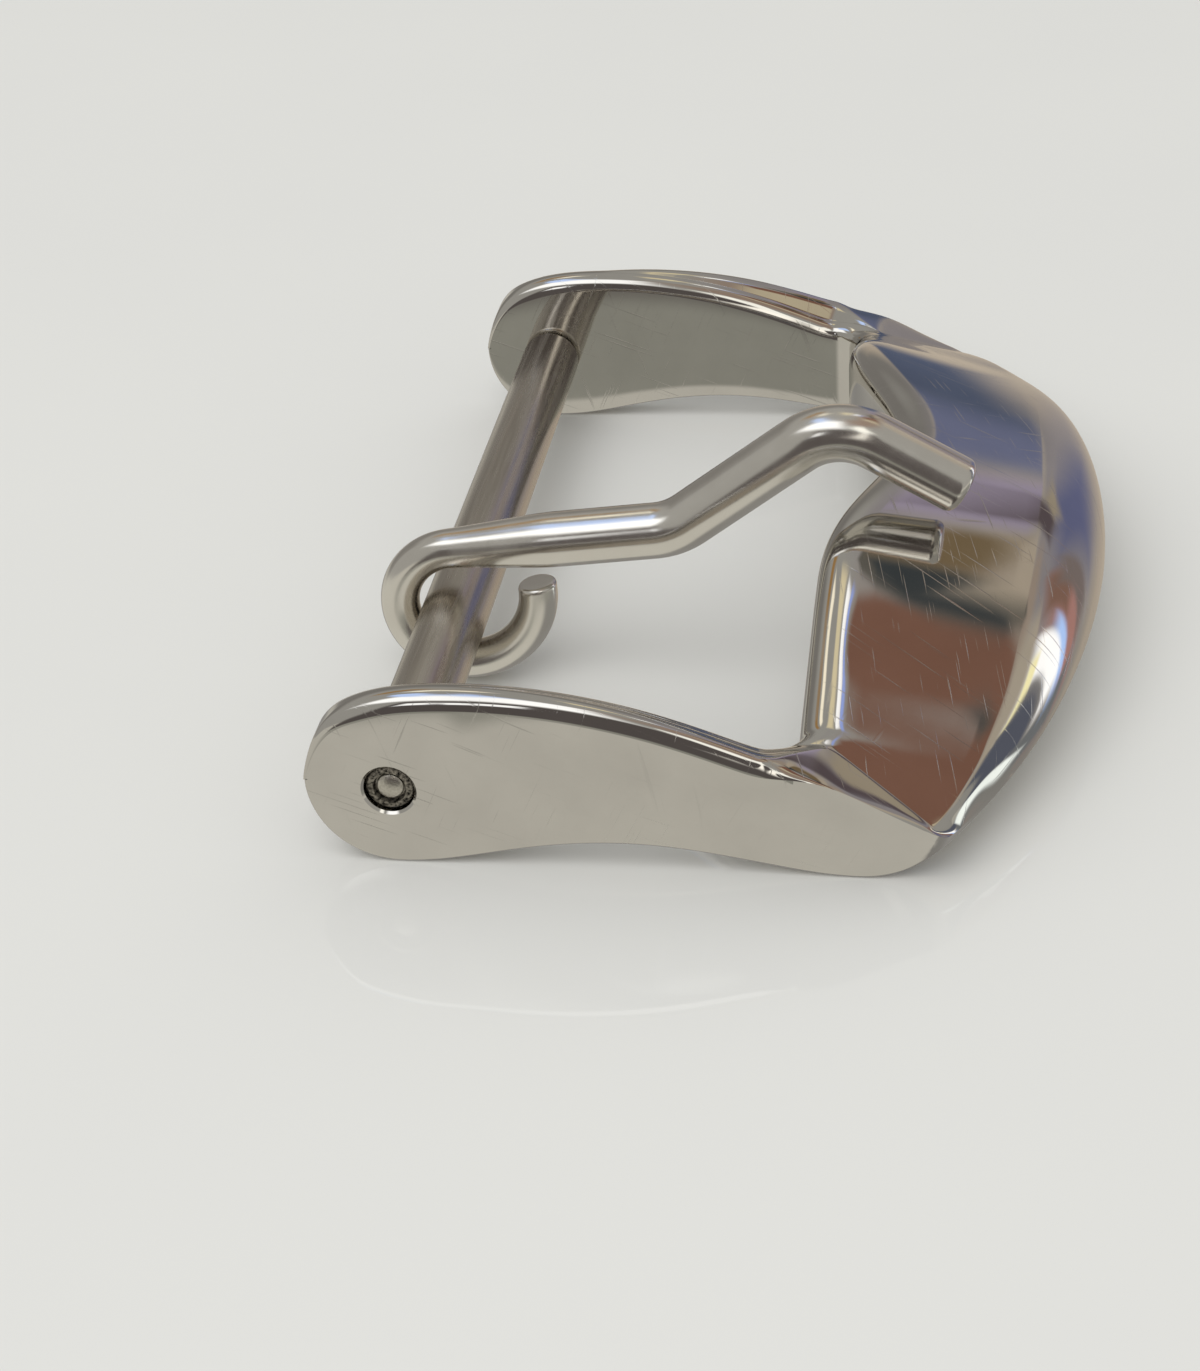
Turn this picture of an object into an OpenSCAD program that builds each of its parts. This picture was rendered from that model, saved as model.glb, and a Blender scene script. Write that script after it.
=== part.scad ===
// Pin buckle for a watch strap: a one-piece steel frame whose two flat arms carry a wide,
// arched bow, a bent wire tongue, and a spring bar whose two sprung tips sit in the arms.
// X runs from the spring bar to the bow, Y runs across the strap, Z is up.
// The origin is the middle of the spring bar's axis. Sizes are in millimetres.

/* [Strap] */
// Width of the strap end that the buckle takes
strap_w = 20; // [16:1:24]
// Gap between the strap and each arm
strap_gap = 0.3; // [0.1:0.05:0.4]

/* [Arms] */
// Thickness of each arm
arm_t = 0.8; // [0.8:0.05:1.2]
// Radius of the round lobe at the end of each arm, round the hole
lobe_r = 1.75; // [1.5:0.05:2]
// Height of the arm's crown above the bar's axis
crown_z = 2.28; // [2.1:0.02:2.4]
// Distance of the crown from the bar's axis, along the arm
crown_x = 1.5; // [1.2:0.1:2]
// Height of the neck, where the arm levels out before the bow, above the bar's axis
neck_z = 0.91; // [0.8:0.01:1]
// Distance from the bar's axis to the neck
neck_x = 7.6; // [7.2:0.1:7.7]
// Rise of the arch that is cut into the lower edge of the arm
arch_rise = 0.6; // [0.2:0.05:0.8]
// How far the arm's outer side leans outward at its top, from the neck to the toe
lean_out = 0.42; // [0:0.02:0.5]
// How much the arm's top rises outward, over its thickness, from the neck to the toe
lean_up = 0.27; // [0:0.01:0.3]
// Rounding of the arm's two upper edges, up to half of its thickness for a full round
edge_r = 0.39; // [0.2:0.01:0.39]
// Radius of the hole that takes the tip of the spring bar
hole_r = 0.53; // [0.52:0.01:0.6]

/* [Bow] */
// Distance from the bar's axis to the inner wall of the bow
bow_in_x = 8.2; // [8:0.05:8.6]
// How far the inner wall bends outward at the middle
bow_in_bend = 0.2; // [0:0.05:0.4]
// Depth of the wide hollow in the inner wall in which the tongue comes to lie
hollow_d = 1.3; // [0:0.1:1.5]
// Distance from the middle at which that hollow begins
hollow_y = 5.6; // [4:0.1:7]
// Distance from the bar's axis to the outermost point of the bow
bow_out_x = 14.5; // [14:0.1:15.5]
// How far the outer wall draws back from the middle to the ends, as one even curve
bow_out_curve = 2.8; // [2.4:0.1:3]
// How much more the outer wall draws back close to the ends
bow_out_corner = 0.6; // [0.4:0.1:1]
// Distance from the bar's axis to the ridge between face and bevel, at the middle
ridge_x = 13.2; // [13:0.1:13.4]
// How far the ridge draws back from the middle to the ends, as one even curve
ridge_curve = 1.3; // [1.1:0.1:1.5]
// Height of the face at its inner boundary, at the middle, above the bar's axis
face_in_z = 3.12; // [2.9:0.02:3.16]
// Height of the face at its inner boundary, at the ends
face_end_z = 0.75; // [0.6:0.05:0.9]
// Height of the ridge at the middle, above the bar's axis
ridge_z = 2.1; // [1.9:0.05:2.15]
// Height of the ridge at the ends, before it drops to the toe
ridge_end_z = 0.08; // [0:0.02:0.2]
// Height of the lower outer edge at the middle, above the bar's axis
under_out_z = 0.1; // [-0.3:0.1:0.5]
// Height of the lower inner edge at the middle, above the bar's axis
under_in_z = 1.3; // [0.8:0.1:1.7]
// Width of the rolled inner edge, from the wall to the face
roll_w = 0.95; // [0.6:0.05:1.1]
// Depth of the rolled inner edge, down the wall
roll_h = 0.6; // [0.4:0.05:0.8]
// Radius of the inner corner between arm and bow, seen from above
corner_r = 0.6; // [0.4:0.05:0.8]

/* [Spring bar] */
// Diameter of the barrel
bar_d = 1.5; // [1.4:0.05:1.6]
// Wall of the barrel
barrel_wall = 0.15; // [0.12:0.01:0.2]
// Gap between each end of the barrel and its arm
end_gap = 0.1; // [0.05:0.05:0.2]
// Thickness of the lip that is rolled in at each end of the barrel
lip_t = 0.25; // [0.15:0.05:0.4]
// Running gap round each tip, in the arm's hole and in the lip
tip_gap = 0.03; // [0.02:0.01:0.05]
// Depth of the tip's end below the outer face of the arm
tip_recess = 0.3; // [0.2:0.05:0.4]
// Radius of the small nub on the tip's end
nub_r = 0.29; // [0.2:0.01:0.4]
// Height of the nub
nub_h = 0.1; // [0.05:0.01:0.2]
// Length of the tip's head, inside the barrel
head_l = 0.8; // [0.6:0.1:1.2]
// Length of the spigot on the head, inside the spring
spigot_l = 0.9; // [0.5:0.1:1.5]
// Diameter of the spring's wire
spring_wire_d = 0.15; // [0.12:0.01:0.18]
// Number of turns of the spring
spring_turns = 18; // [12:1:22]

/* [Tongue] */
// Place of the tongue along the bar, from the middle
tongue_y = -3.6; // [-8:0.1:8]
// Diameter of the tongue's wire
wire_d = 1.24; // [1.1:0.02:1.4]
// Diameter of the wire where it is drawn down for the loop
loop_wire_d = 0.88; // [0.8:0.02:0.94]
// Least gap between the loop and the bar
loop_gap = 0.04; // [0.03:0.01:0.08]
// How far the loop's centre lies from the bar's axis, towards the bow
loop_dx = 0.13; // [0.05:0.01:0.15]
// How far the loop's centre lies above the bar's axis
loop_dz = 0.14; // [0.05:0.01:0.15]
// How much wider the open end of the hook swings than the loop
hook_open = 0.35; // [0.1:0.05:0.5]
// Angle at which the hook ends, past level
hook_end_a = 8; // [0:1:20]
// Slope of the tongue's flat run
flat_a = 6.6; // [5:0.1:8]
// Length over which the wire grows from the loop's diameter to its own
taper_l = 2.2; // [1:0.1:3]
// Distance from the bar's axis to the bend at the foot of the rise
foot_x = 5.04; // [4.8:0.02:5.4]
// Distance from the bar's axis to the bend at the hump
hump_x = 8.6; // [8.4:0.02:8.8]
// Height of the hump's bend above the bar's axis, before it is rounded
hump_z = 4.8; // [4.75:0.02:5]
// Distance from the bar's axis to the tongue's tip
tip_x = 11.35; // [11:0.05:11.6]
// Height of the wire's middle at the tip, above the bar's axis
tip_z = 3.24; // [3.22:0.02:3.4]
// Bend radius at the foot of the rise, at the wire's middle
foot_r = 1.6; // [1:0.1:2]
// Bend radius at the hump, at the wire's middle
hump_r = 1.5; // [1:0.1:1.7]
// Bevel round the end of the tip
tip_bevel = 0.2; // [0.1:0.02:0.3]

/* [Hidden] */
$fn = 64;
steel = "#c9cbcc";
wire_steel = "#bdbcb8";
bar_steel = "#aba79e";
spring_steel = "#8f8d88";

// Half width between the arms, and out over them
inner_y = strap_w / 2 + strap_gap;
outer_y = inner_y + arm_t;

// A Bezier curve through any number of control points, at t from 0 to 1
function bezier(points, t) = len(points) == 1
    ? points[0]
    : bezier([for (i = [0:len(points) - 2]) points[i] * (1 - t) + points[i + 1] * t], t);
// Drop of a circular arc of radius r at distance d from its top
function sag(d, r) = r - sqrt(r * r - d * d);
function mix(a, b, t) = a * (1 - t) + b * t;

// Arm, seen from the side: pairs of X and Z
back_bulge = 0.01;
lobe_back = [-lobe_r - back_bulge, 0.2];
crown = [crown_x, crown_z];
neck = [neck_x, neck_z];
lobe_top = [lobe_back, [lobe_back[0], 0.51], [-1.35, 1.22], [lobe_back[0], crown_z], crown];
arm_back = [crown, [crown_x + 3.4, crown_z], [neck_x - 0.5, neck_z + 0.05], neck];
sole = [0.15, -lobe_r];
lobe_under = [lobe_back, [lobe_back[0], -0.95], [-0.95, -lobe_r], sole];
arch_top = [4.7, arch_rise - lobe_r];
arch_back = [sole, [1.5, -lobe_r], [2.6, arch_top[1]], arch_top];
heel = [9.6, -lobe_r];
arch_front = [arch_top, [6.6, arch_top[1]], [8, -lobe_r], heel];

// Plan and heights of the bow, at distance y from the middle of the strap
function reach(y) = y / outer_y;
function out_x(y) = bow_out_x - bow_out_curve * pow(reach(y), 2) - bow_out_corner * pow(reach(y), 6);
function ridge_at(y) = ridge_x - ridge_curve * pow(reach(y), 2) - bow_out_corner * pow(reach(y), 6);
function bell(s, power) = (1 + cos(180 * pow(min(1, s), power))) / 2;
function wall_x(y) = bow_in_x + bow_in_bend * pow(1 - pow(reach(y), 2), 2);
function in_x(y) = wall_x(y) + hollow_d * bell(y / hollow_y, 1);
ridge_power = 1.25;
face_power = 1.5;
function ridge_h(y) = mix(ridge_end_z, ridge_z, bell(reach(y), ridge_power));
function face_h(y) = mix(face_end_z, face_in_z, bell(reach(y), face_power));
function under_out(y) = under_out_z - sag(y, under_out_r);
function under_in(y) = under_in_z - sag(y, under_in_r);
// The underside's two arches end at the toe and at the arm's lower edge
toe_z = -1.02;
arm_under_z = -1.5;
under_out_r = (pow(outer_y, 2) + pow(under_out_z - toe_z, 2)) / (2 * (under_out_z - toe_z));
under_in_r = (pow(inner_y, 2) + pow(under_in_z - arm_under_z, 2)) / (2 * (under_in_z - arm_under_z));

// A station is a section across the frame's rim, given by eight points: lower outer edge,
// top of the outer wall, pull of the outer rounding, ridge, inner end of the face,
// pull of the inner rounding, top of the inner wall, lower inner edge
round_steps = 4;
function rounding(from, pull, to) = [for (i = [0:round_steps]) bezier([from, pull, to], i / round_steps)];
function section(s) = concat([s[0]], rounding(s[1], s[2], s[3]), rounding(s[4], s[5], s[6]), [s[7]]);
function at(p, y) = [p[0], y, p[1]];

// Stations of the arm: top and bottom are points of its side outline
function heading(points, t) = bezier(points, t + 0.001) - bezier(points, t - 0.001);
function inset(points, t, r) = let (d = heading(points, t)) bezier(points, t) - [-d[1], d[0]] * r / norm(d);
lean_on = 0.28;
lean = [lean_on * lean_out, -lean_out, lean_up];
function leaning(x) = min(1, max(0, (x - crown_x) / (neck_x - crown_x)));
function arm_station(points, t, under, r) = let (
    top = bezier(points, t),
    low = inset(points, t, r),
    shift = lean * leaning(top[0])
) [
    at(under, -outer_y),
    at(low, -outer_y) + shift,
    at(top, -outer_y) + shift,
    at(top, r - outer_y) + shift,
    at(top, -inner_y - r),
    at(top, -inner_y),
    at(low, -inner_y),
    at(under, -inner_y)
];
lobe_steps = 9;
lobe_start = 0.04;
sharp_r = 0.05;
full_round = 0.72;
lobe_stations = [
    for (i = [0:lobe_steps - 1])
        let (t = mix(lobe_start, 1, i / lobe_steps))
        arm_station(lobe_top, t, bezier(lobe_under, t), mix(sharp_r, edge_r, min(1, t / full_round)))
];
arm_steps = 11;
toe_start = 0.55;
neck_round = 0.92;
function arm_under(u) = u < 0.5 ? bezier(arch_back, 2 * u) : bezier(arch_front, (2 * u - 1) * toe_start);
arm_stations = [
    for (i = [0:arm_steps])
        let (u = i / arm_steps)
        arm_station(arm_back, u, arm_under(u), edge_r * mix(1, neck_round, u))
];

// Stations of the bow, from the end of the inner corner to the middle
bow_end_y = inner_y - corner_r;
wall_h = 0.12;
bulge_share = 0.65;
function face_slope(y) = (face_h(y) - ridge_h(y)) / (ridge_at(y) - wall_x(y) - roll_w);
function face_at(y, x) = ridge_h(y) + face_slope(y) * (ridge_at(y) - x);
function bow_station(y) = let (low = under_out(y), high = ridge_h(y)) [
    [out_x(y), -y, low],
    [out_x(y), -y, low + wall_h],
    [out_x(y), -y, mix(low, high, bulge_share)],
    [ridge_at(y), -y, high],
    [in_x(y) + roll_w, -y, face_at(y, in_x(y) + roll_w)],
    [in_x(y), -y, face_at(y, in_x(y))],
    [in_x(y), -y, face_at(y, in_x(y) + roll_w) - roll_h],
    [in_x(y), -y, under_in(y)]
];
bow_steps = 11;
bow_stations = [for (i = [0:bow_steps - 1]) bow_station(bow_end_y * (1 - i / bow_steps))];

// Stations of the corner, as the section turns from the arm into the bow. The outer points
// reach the toe at toe_c and then follow the bow's outer wall.
corner_steps = 13;
toe_c = 0.6;
toe = [out_x(outer_y), toe_z];
toe_wall_h = 0.3;
toe_under = [heel, [heel[0] + 0.7, -lobe_r], [toe[0] - 0.25, toe_z - 0.35], toe];
side_top = [
    [neck_x, neck_z - edge_r * neck_round],
    [neck_x + 1.3, neck_z - 0.29],
    [neck_x + 1.5, neck_z - 0.64],
    [toe[0] - 1.1, toe_z + 0.8],
    [toe[0], toe_z + toe_wall_h]
];
// The mitre, where the bow's face meets the side: its inner and outer ends
mitre_in = [neck_x + 1.35, 0.65 - outer_y, neck_z + 0.05];
mitre_out_y = outer_y - 0.12;
toe_drop = [-0.47, 0, -0.64];
mitre_out = [ridge_at(mitre_out_y), -mitre_out_y, ridge_end_z] + toe_drop + lean;
mitre_c = 0.25;
corner_c = 0.1;
corner_end = bow_station(bow_end_y);
neck_edge = edge_r * neck_round;
neck_under = arm_under(1);
function after_toe(c) = max(0, (c - toe_c) / (1 - toe_c));
function past_toe(c, from) = bow_station(mix(from, bow_end_y, after_toe(c)));
function corner_lean(c) = lean * pow(1 - after_toe(c), 2);
toe_fade = 5;
function drop(c) = toe_drop * pow(1 - after_toe(c), toe_fade);
function toe_wall(c) = [0, 0, (toe_wall_h - wall_h) * pow(1 - after_toe(c), 2)];
function corner_under(c) = c < toe_c / 2
    ? at(bezier(arch_front, mix(toe_start, 1, 2 * c / toe_c)), -outer_y)
    : c < toe_c
    ? at(bezier(toe_under, 2 * c / toe_c - 1), -outer_y)
    : past_toe(c, outer_y)[0];
function corner_wall(c) = corner_lean(c) + (c < toe_c
    ? at(bezier(side_top, c / toe_c), -outer_y)
    : past_toe(c, outer_y)[1] + toe_wall(c));
function corner_ridge(c) = c < mitre_c
    ? mix([neck_x, neck_edge - outer_y, neck_z] + lean, mitre_in, c / mitre_c)
    : c < toe_c
    ? mix(mitre_in, mitre_out, (c - mitre_c) / (toe_c - mitre_c))
    : past_toe(c, mitre_out_y)[3] + corner_lean(c) + drop(c);
function corner_face(c) = bezier([
    [neck_x, -inner_y - neck_edge, neck_z],
    [neck_x + 1.1, -inner_y - 0.3, neck_z],
    [corner_end[4][0] + 0.1, -inner_y + 0.1, neck_z + 0.05],
    corner_end[4]
], c);
function corner_plan(c) = c < corner_c
    ? [mix(neck_x, bow_in_x - corner_r, c / corner_c), -inner_y]
    : let (a = 90 * (c - corner_c) / (1 - corner_c))
    [mix(bow_in_x, corner_end[7][0], c) - corner_r * (1 - sin(a)), -inner_y + corner_r * (1 - cos(a))];
function corner_inner(c, from, to) = [corner_plan(c)[0], corner_plan(c)[1], mix(from, to, c)];
function corner_station(c) = let (wall = corner_wall(c), ridge = corner_ridge(c), face = corner_face(c)) [
    corner_under(c),
    wall,
    c < toe_c
        ? mix([ridge[0], wall[1], ridge[2]], (wall + ridge) / 2, 0.2)
        : past_toe(c, outer_y)[2] + corner_lean(c) + drop(c) * bulge_share,
    ridge,
    face,
    corner_inner(c, neck_z, corner_end[5][2]),
    corner_inner(c, neck_z - neck_edge, corner_end[6][2]),
    corner_inner(c, neck_under[1], corner_end[7][2])
];
corner_stations = [for (i = [1:corner_steps - 1]) corner_station(i / corner_steps)];

// The rim: the near half's stations, the middle one, and the far half mirrored
half_rim = [for (s = concat(lobe_stations, arm_stations, corner_stations, bow_stations)) section(s)];
rim = concat(
    half_rim,
    [section(bow_station(0))],
    [for (i = [len(half_rim) - 1:-1:0]) [for (p = half_rim[i]) [p[0], -p[1], p[2]]]]
);

// A closed skin over a row of sections that all have the same number of points
module loft(sections) {
    rows = len(sections);
    count = len(sections[0]);
    points = [for (s = sections) each s];
    sides = [
        for (i = [0:rows - 2], j = [0:count - 1])
            let (a = i * count + j, b = i * count + (j + 1) % count)
            each [[a, b, b + count], [a, b + count, a + count]]
    ];
    first = [for (j = [1:count - 2]) [0, j + 1, j]];
    last_row = (rows - 1) * count;
    last = [for (j = [1:count - 2]) [last_row, last_row + j, last_row + j + 1]];
    polyhedron(points, concat(sides, first, last));
}

// Turns a shape that was drawn along Z so that it lies along Y
module along_y() rotate([-90, 0, 0]) children();

// One-piece frame: the lofted rim, drilled through both lobes for the spring bar
module frame() {
    color(steel)
    difference() {
        loft(rim);
        along_y() cylinder(h = 2 * outer_y + 2, r = hole_r, center = true);
    }
}

// Spring bar
bar_r = bar_d / 2;
bore_r = bar_r - barrel_wall;
tip_r = hole_r - tip_gap;
lip_r = tip_r + tip_gap;
head_r = bore_r - tip_gap;
barrel_y = inner_y - end_gap;
tip_y = outer_y - tip_recess;
head_y = barrel_y - lip_t - tip_gap;
spring_r = head_r - spring_wire_d / 2;
spigot_r = spring_r - spring_wire_d / 2 - tip_gap;
barrel_bevel = 0.08;
tip_edge = 0.06;

// Rolled steel tube that the strap's loop goes round; its ends are rolled in to hold the tips
module bar_barrel() {
    color(bar_steel)
    along_y()
    rotate_extrude()
    polygon([
        [lip_r, -barrel_y],
        [bar_r - barrel_bevel, -barrel_y],
        [bar_r, -barrel_y + barrel_bevel],
        [bar_r, barrel_y - barrel_bevel],
        [bar_r - barrel_bevel, barrel_y],
        [lip_r, barrel_y],
        [lip_r, barrel_y - lip_t],
        [bore_r, barrel_y - lip_t],
        [bore_r, lip_t - barrel_y],
        [lip_r, lip_t - barrel_y]
    ]);
}

// Turned tip: spigot, head, shank and a small nub on the end that shows in the arm's hole
module bar_tip() {
    color(bar_steel)
    along_y()
    rotate_extrude()
    polygon([
        [0, head_y - head_l - spigot_l],
        [spigot_r - tip_edge, head_y - head_l - spigot_l],
        [spigot_r, head_y - head_l - spigot_l + tip_edge],
        [spigot_r, head_y - head_l],
        [head_r, head_y - head_l],
        [head_r, head_y],
        [tip_r, head_y],
        [tip_r, tip_y - nub_h - tip_edge],
        [tip_r - tip_edge, tip_y - nub_h],
        [nub_r, tip_y - nub_h],
        [nub_r - tip_edge / 2, tip_y],
        [0, tip_y]
    ]);
}

module bar_tip_near() mirror([0, 1, 0]) bar_tip();

module bar_tip_far() bar_tip();

// Coil spring that presses both tips outward
spring_y = head_y - head_l - tip_gap - spring_wire_d / 2;
turn_steps = 8;
wire_sides = 6;
module bar_spring() {
    steps = spring_turns * turn_steps;
    lead = 2 * spring_y / spring_turns;
    lean = atan(lead / (2 * PI * spring_r));
    rings = [
        for (i = [0:steps])
            let (a = 360 * i / turn_steps)
            [
                for (j = [0:wire_sides - 1])
                    let (b = 360 * j / wire_sides, out = cos(b) * spring_wire_d / 2, over = sin(b) * spring_wire_d / 2)
                    [
                        (spring_r + out) * cos(a) - over * sin(lean) * sin(a),
                        2 * spring_y * i / steps - spring_y - over * cos(lean),
                        (spring_r + out) * sin(a) + over * sin(lean) * cos(a)
                    ]
            ]
    ];
    echo(spring_gap = lead * cos(lean) - spring_wire_d);
    color(spring_steel) loft(rings);
}

// Tongue, bent from round wire in the plane across the bar. A stop on its route is the wire's
// middle as a pair of X and Z, the angle at which the wire heads on, and the wire's radius.
wire_r = wire_d / 2;
loop_wire_r = loop_wire_d / 2;
loop_centre = [loop_dx, loop_dz];
loop_r = bar_r + loop_gap + norm(loop_centre) + loop_wire_r;
hook_centre = [loop_dx, loop_dz + hook_open];
hook_r = loop_r + hook_open;
function turn(a) = [cos(a), sin(a)];
function pitch(p, q) = atan2(q[1] - p[1], q[0] - p[0]);
function toward(p, q, d) = p + (q - p) * d / norm(q - p);
function tail(list) = [for (i = [1:len(list) - 1]) list[i]];

// Stops on a bend of radius r round centre, while the heading goes from h0 to h1
function bend(centre, r, h0, h1, steps, wire) = let (side = h1 > h0 ? 1 : -1) [
    for (i = [0:steps])
        let (h = mix(h0, h1, i / steps))
        [centre + side * r * turn(h - 90), h, wire]
];
// Stops on the bend that rounds the corner q on the way from p to s
function corner(p, q, s, r, steps, wire) = let (
    h0 = pitch(p, q),
    h1 = pitch(q, s),
    side = h1 > h0 ? 1 : -1,
    start = toward(q, p, r * tan(abs(h1 - h0) / 2))
) bend(start + side * r * turn(h0 + 90), r, h0, h1, steps, wire);

loop_top = loop_centre + loop_r * turn(90 + flat_a);
taper_end = loop_top + taper_l * turn(flat_a);
foot = [foot_x, loop_top[1] + (foot_x - loop_top[0]) * tan(flat_a)];
hump = [hump_x, hump_z];
tip = [tip_x, tip_z];
tip_h = pitch(hump, tip);
hook_steps = 8;
loop_steps = 14;
foot_steps = 5;
hump_steps = 9;
tongue_route = concat(
    bend(hook_centre, hook_r, 270 + hook_end_a, 180, hook_steps, loop_wire_r),
    tail(bend(loop_centre, loop_r, 180, flat_a, loop_steps, loop_wire_r)),
    [[taper_end, flat_a, wire_r]],
    corner(loop_top, foot, hump, foot_r, foot_steps, wire_r),
    corner(foot, hump, tip, hump_r, hump_steps, wire_r),
    [[toward(tip, hump, tip_bevel), tip_h, wire_r], [tip, tip_h, wire_r - tip_bevel]]
);
tongue_sides = 24;

// Bent wire tongue, its loop round the bar's barrel and its tip resting on the bow
module tongue() {
    rings = [
        for (stop = tongue_route)
            [
                for (j = [0:tongue_sides - 1])
                    let (b = 360 * j / tongue_sides, up = stop[2] * cos(b) * turn(stop[1] + 90))
                    [stop[0][0] + up[0], tongue_y + stop[2] * sin(b), stop[0][1] + up[1]]
            ]
    ];
    color(wire_steel) loft(rings);
}

frame();
tongue();
bar_barrel();
bar_tip_near();
bar_tip_far();
bar_spring();
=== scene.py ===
"""Looks of a pin buckle for a watch strap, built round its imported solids.

Lengths in the sections are in millimetres, X from the spring bar to the bow, Y across the
strap, Z up, from the middle of the spring bar's axis. Meshes are made in metres.
"""

import bpy
import numpy as np
from mathutils import Matrix, Vector


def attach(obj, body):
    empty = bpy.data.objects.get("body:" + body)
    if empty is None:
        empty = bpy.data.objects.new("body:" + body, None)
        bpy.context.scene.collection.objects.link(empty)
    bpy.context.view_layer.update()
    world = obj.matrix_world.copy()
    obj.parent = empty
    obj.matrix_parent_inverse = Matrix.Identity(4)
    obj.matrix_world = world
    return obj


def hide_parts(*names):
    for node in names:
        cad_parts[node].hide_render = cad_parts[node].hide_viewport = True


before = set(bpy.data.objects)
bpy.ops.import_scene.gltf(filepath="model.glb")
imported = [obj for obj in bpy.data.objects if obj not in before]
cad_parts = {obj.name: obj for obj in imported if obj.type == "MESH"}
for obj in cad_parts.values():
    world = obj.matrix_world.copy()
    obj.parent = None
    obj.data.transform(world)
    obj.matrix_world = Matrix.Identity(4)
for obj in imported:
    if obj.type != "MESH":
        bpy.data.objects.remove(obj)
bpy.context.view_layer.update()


# Frame: arms and bow.
# One piece of stainless steel, forged, milled and then polished on a wheel, so that every edge
# is a little rounded. Its two lobes are drilled for the spring bar.
inner_y, outer_y = 10.3, 11.1
hole_r = 0.53
full_edge, neck_edge = 0.39, 0.36
side_lean = np.array([0.12, -0.42, 0.27])

# The arm's outline from the side, X and Z, in Bezier stretches
lobe_back, crown, neck = (-1.76, 0.2), (1.5, 2.28), (7.6, 0.91)
sole, arch_top, heel = (0.15, -1.75), (4.7, -1.15), (9.6, -1.75)
lobe_top = [lobe_back, (-1.76, 0.51), (-1.35, 1.22), (-1.76, 2.28), crown]
lobe_under = [lobe_back, (-1.76, -0.95), (-0.95, -1.75), sole]
arm_top = [crown, (4.9, 2.28), (7.1, 0.96), neck]
arch_back = [sole, (1.5, -1.75), (2.6, -1.15), arch_top]
arch_front = [arch_top, (6.6, -1.15), (8, -1.75), heel]


def curve(points, t):
    """Bezier curve: neighbours are mixed by t, again and again, until one point is left."""
    t = np.asarray(t, float)[:, None]
    rows = [np.asarray(p, float) for p in points]
    while len(rows) > 1:
        rows = [a * (1 - t) + b * t for a, b in zip(rows, rows[1:])]
    return rows[0]


def across(xz, y):
    """A side outline's points, X and Z, set at distance y across."""
    return np.stack([xz[:, 0], np.zeros(len(xz)) + y, xz[:, 1]], 1)


def arm_stations(outline, t, under, edge):
    """Eight points across the arm at each t: its section's corners and the ends of its two upper
    roundings, which start at edge below the outline and edge in from the sides."""
    dt = 1e-3
    top = curve(outline, t)
    ahead = curve(outline, t + dt) - curve(outline, t - dt)
    inward = np.stack([ahead[:, 1], -ahead[:, 0]], 1) / np.linalg.norm(ahead, axis=1)[:, None]
    low = top + inward * edge[:, None]
    shift = side_lean * np.clip((top[:, 0] - crown[0]) / (neck[0] - crown[0]), 0, 1)[:, None]
    return np.stack([
        across(under, -outer_y),
        across(low, -outer_y) + shift,
        across(top, -outer_y) + shift,
        across(top, edge - outer_y) + shift,
        across(top, -inner_y - edge),
        across(top, -inner_y),
        across(low, -inner_y),
        across(under, -inner_y),
    ], 1)


# The bow seen from above: where its walls and ridge lie at the middle, and how they draw back
bow_in, bow_bend, bow_out, ridge_mid = 8.2, 0.2, 14.5, 13.2
bow_curve, bow_corner, ridge_curve = 2.8, 0.6, 1.3
hollow_d, hollow_y = 1.3, 5.6
# Its heights: at the middle, at the ends and the bell's power, or at the middle and an arc's drop
ridge_z, ridge_end_z, ridge_power = 2.1, 0.08, 1.25
face_z, face_end_z, face_power = 3.12, 0.75, 1.5
low_z, low_drop = 0.1, 1.12
under_z, under_drop = 1.3, 2.8
# The rolled inner edge, the outer wall's foot, and how far up the bevel its rounding is pulled
roll_w, roll_h = 0.95, 0.6
foot_h, pull_share = 0.12, 0.65


def arc_drop(y, half, rise):
    """Drop at y of a circular arc that spans half each way and rises by rise."""
    r = (half**2 + rise**2) / (2 * rise)
    return r - np.sqrt(r * r - y * y)


def falling(y, end, middle, power):
    """Height at y: the bell end + (middle - end) (1 + cos(pi (y / outer_y)^power)) / 2, which goes
    on straight past turn, so that the face stays flat up to the mitre."""
    bell_at = lambda y: end + (middle - end) * (1 + np.cos(np.pi * (y / outer_y) ** power)) / 2
    turn, dy = 8.6, 0.05
    slope = (bell_at(turn + dy) - bell_at(turn - dy)) / (2 * dy)
    return bell_at(np.minimum(y, turn)) + slope * np.maximum(0, y - turn)


def bow_stations(y):
    """The same eight points across the bow at distance y: plan curves in y squared and y to the
    sixth, heights that fall from the middle as a flattened bell, and a bell-shaped hollow in the
    inner wall, which cuts into the face without tilting it."""
    s = y / outer_y
    out_x = bow_out - bow_curve * s**2 - bow_corner * s**6
    ridge_x = ridge_mid - ridge_curve * s**2 - bow_corner * s**6
    wall_x = bow_in + bow_bend * (1 - s**2) ** 2
    in_x = wall_x + hollow_d * (1 + np.cos(np.pi * np.minimum(1, y / hollow_y))) / 2
    high = falling(y, ridge_end_z, ridge_z, ridge_power)
    face = falling(y, face_end_z, face_z, face_power)
    low = low_z - arc_drop(y, outer_y, low_drop)
    under = under_z - arc_drop(np.minimum(y, inner_y), inner_y, under_drop)
    slope = (face - high) / (ridge_x - wall_x - roll_w)
    face_at = lambda x: high + slope * (ridge_x - x)
    point = lambda x, z: np.stack([x, -y, z], 1)
    return np.stack([
        point(out_x, low),
        point(out_x, low + foot_h),
        point(out_x, low * (1 - pull_share) + high * pull_share),
        point(ridge_x, high),
        point(in_x + roll_w, face_at(in_x + roll_w)),
        point(in_x, face_at(in_x)),
        point(in_x, face_at(in_x + roll_w) - roll_h),
        point(in_x, under),
    ], 1)


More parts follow.
